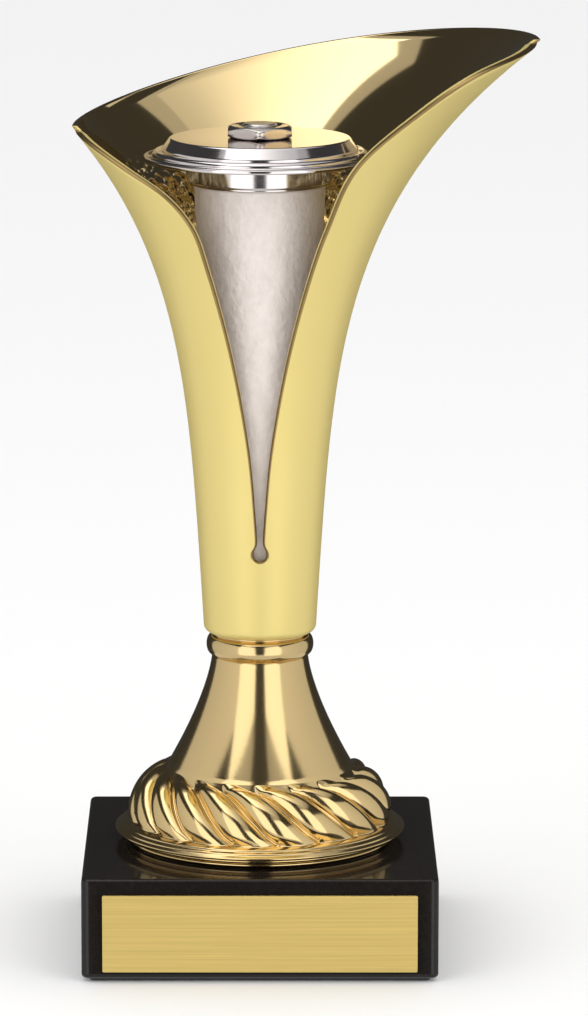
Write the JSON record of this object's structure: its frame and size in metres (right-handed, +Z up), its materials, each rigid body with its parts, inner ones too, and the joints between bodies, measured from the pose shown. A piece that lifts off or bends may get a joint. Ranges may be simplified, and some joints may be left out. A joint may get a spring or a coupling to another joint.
{
  "type": "cup trophy",
  "caption": "Slashed gold trumpet cup with a silver cone inside, on a gadrooned riser and a black stone base with a blank plate.",
  "frame": {"origin": "on the tie rod's axis, at the underside of the felt pad", "axes": "+Z up along the tie rod; the plate and the slash in the cup face -Y; the cup's high tip points to +X"},
  "size_m": [0.0954, 0.0847, 0.1871],
  "materials": {
    "stone": "polished black stone",
    "felt": "black felt",
    "plate_brass": "brushed, lacquered",
    "tape": "white tape",
    "riser_gold": "polished gold plate",
    "collar_gold": "polished gold plate",
    "cup_gold": "satin outside, mirror inside",
    "silver_cone": "hammered and frosted",
    "chrome_ring": "polished",
    "chrome_cap": "polished",
    "rod_steel": "zinc plated, threaded",
    "nickel_steel": "nickel plated",
    "zinc_steel": "zinc plated"
  },
  "bodies": {
    "root": {"base_block": "stone", "base_nut": "zinc_steel", "base_washer": "zinc_steel", "cap_plate": "chrome_cap", "collar_ring": "collar_gold", "cup_shell": "cup_gold", "engraving_plate": "plate_brass", "felt_pad": "felt", "insert_cone": "silver_cone", "lock_washer": "zinc_steel", "plate_tape": "tape", "riser_bell": "riser_gold", "seat_ring": "chrome_ring", "tie_rod": "rod_steel", "top_nut": "nickel_steel"}
  },
  "joints": []
}
